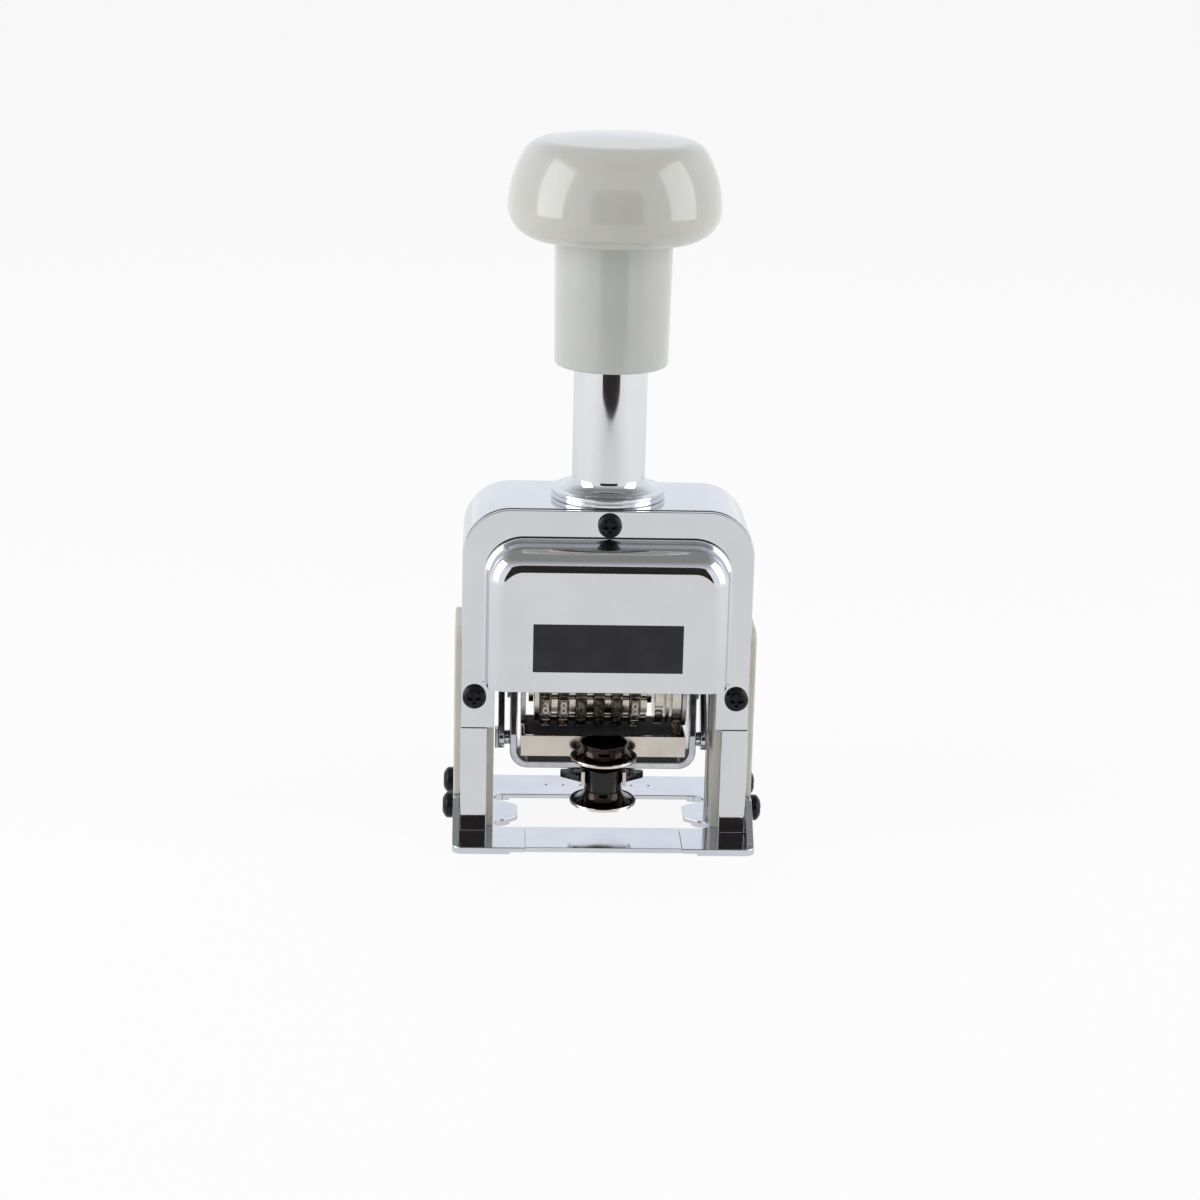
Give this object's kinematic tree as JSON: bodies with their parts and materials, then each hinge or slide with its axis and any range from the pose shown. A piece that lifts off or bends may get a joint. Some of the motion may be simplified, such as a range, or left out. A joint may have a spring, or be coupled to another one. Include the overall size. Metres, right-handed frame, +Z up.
{
  "type": "numbering machine",
  "caption": "Hand numbering machine: knob on a plunger presses number wheels down through a chromed case and base window while an ink pad swings away.",
  "frame": {"origin": "on the table, on the axis of the knob and plunger", "axes": "+Z up along the plunger, -Y towards the front cover and finger pieces, +X to the right seen from the front"},
  "size_m": [0.071, 0.0472, 0.1539],
  "materials": {
    "case_chrome": "bright chrome plate",
    "base_chrome": "bright chrome plate",
    "strap_chrome": "chrome plate",
    "black_screw": "black oxide",
    "label_black": "satin black, bare",
    "cream_plastic": "satin cream",
    "knob_plastic": "glossy off-white",
    "brass": "turned",
    "spring_steel": "drawn",
    "steel": "zinc plated",
    "shoe_plastic": "satin black",
    "wheel_nickel": "nickel plated, inked",
    "disc_nickel": "nickel plated",
    "tray_nickel": "warm nickel plate",
    "black_plastic": "glossy black",
    "ink_felt": "felt soaked in black ink"
  },
  "bodies": {
    "case": {"base_plate": "base_chrome", "front_bar": "base_chrome", "case_shell": "case_chrome", "front_cover": "case_chrome", "back_cover": "case_chrome", "label_plate": "label_black", "front_cover_screws": "black_screw", "back_cover_screws": "black_screw", "base_screws": "black_screw", "guide_rail_right": "cream_plastic", "guide_rail_left": "cream_plastic", "side_panel_right": "cream_plastic", "side_panel_left": "cream_plastic", "guide_tube": "case_chrome", "rod_bush": "brass", "return_spring": "spring_steel"},
    "carriage": {"knob": "knob_plastic", "handle_sleeve": "knob_plastic", "push_rod": "steel", "rod_nut": "steel", "carriage_frame": "steel", "guide_shoes": "shoe_plastic", "wheel_axle": "steel", "axle_clips": "steel", "detent_comb": "spring_steel", "end_discs": "disc_nickel"},
    "yoke": {"ink_yoke": "strap_chrome", "cam_link_right": "strap_chrome", "cam_link_left": "strap_chrome", "link_studs": "strap_chrome", "cam_rollers": "steel", "tray_runner": "black_plastic", "lever_pin": "steel"},
    "tray": {"ink_tray": "tray_nickel", "ink_pad": "ink_felt"},
    "lever": {"release_lever": "black_plastic", "lever_brackets": "tray_nickel"},
    "rocker": {"feed_rocker": "disc_nickel"},
    "dial": {"repeat_dial": "disc_nickel"},
    "wheel_1": {"number_wheel_1": "wheel_nickel"},
    "wheel_2": {"number_wheel_2": "wheel_nickel"},
    "wheel_3": {"number_wheel_3": "wheel_nickel"},
    "wheel_4": {"number_wheel_4": "wheel_nickel"},
    "wheel_5": {"number_wheel_5": "wheel_nickel"},
    "wheel_6": {"number_wheel_6": "wheel_nickel"}
  },
  "joints": [
    {"name": "handle_press", "type": "slide", "parent": "case", "child": "carriage", "axis": [0, 0, -1], "range_m": [0, 0.0225], "stiffness_N_per_m": 500, "springref_m": -0.03, "deforming": ["return_spring"]},
    {"name": "ink_swing", "type": "hinge", "parent": "carriage", "child": "yoke", "pos_m": [0, 0, 0.0317], "axis": [-1, 0, 0], "range_deg": [0, 92.5]},
    {"name": "tray_slide", "type": "slide", "parent": "yoke", "child": "tray", "axis": [0, -1, 0], "range_m": [0, 0.006]},
    {"name": "lever_tilt", "type": "hinge", "parent": "yoke", "child": "lever", "pos_m": [0, 0, 0.012], "axis": [1, 0, 0], "range_deg": [0, 10], "stiffness_Nm_per_rad": 0.03, "springref_deg": -28.65},
    {"name": "feed_rock", "type": "hinge", "parent": "carriage", "child": "rocker", "pos_m": [0, 0, 0.0317], "axis": [-1, 0, 0], "range_deg": [0, 41]},
    {"name": "dial_turn", "type": "hinge", "parent": "carriage", "child": "dial", "pos_m": [0, 0, 0.0317], "axis": [1, 0, 0], "range_deg": [0, 270]},
    {"name": "wheel_1_spin", "type": "hinge", "parent": "carriage", "child": "wheel_1", "pos_m": [0, 0, 0.0317], "axis": [1, 0, 0], "continuous": true},
    {"name": "wheel_2_spin", "type": "hinge", "parent": "carriage", "child": "wheel_2", "pos_m": [0, 0, 0.0317], "axis": [1, 0, 0], "continuous": true},
    {"name": "wheel_3_spin", "type": "hinge", "parent": "carriage", "child": "wheel_3", "pos_m": [0, 0, 0.0317], "axis": [1, 0, 0], "continuous": true},
    {"name": "wheel_4_spin", "type": "hinge", "parent": "carriage", "child": "wheel_4", "pos_m": [0, 0, 0.0317], "axis": [1, 0, 0], "continuous": true},
    {"name": "wheel_5_spin", "type": "hinge", "parent": "carriage", "child": "wheel_5", "pos_m": [0, 0, 0.0317], "axis": [1, 0, 0], "continuous": true},
    {"name": "wheel_6_spin", "type": "hinge", "parent": "carriage", "child": "wheel_6", "pos_m": [0, 0, 0.0317], "axis": [1, 0, 0], "continuous": true}
  ],
  "couplings": [
    {"joint": "ink_swing", "follows": "handle_press", "rad_per_m": 71.365},
    {"joint": "feed_rock", "follows": "handle_press", "rad_per_m": 31.028}
  ]
}
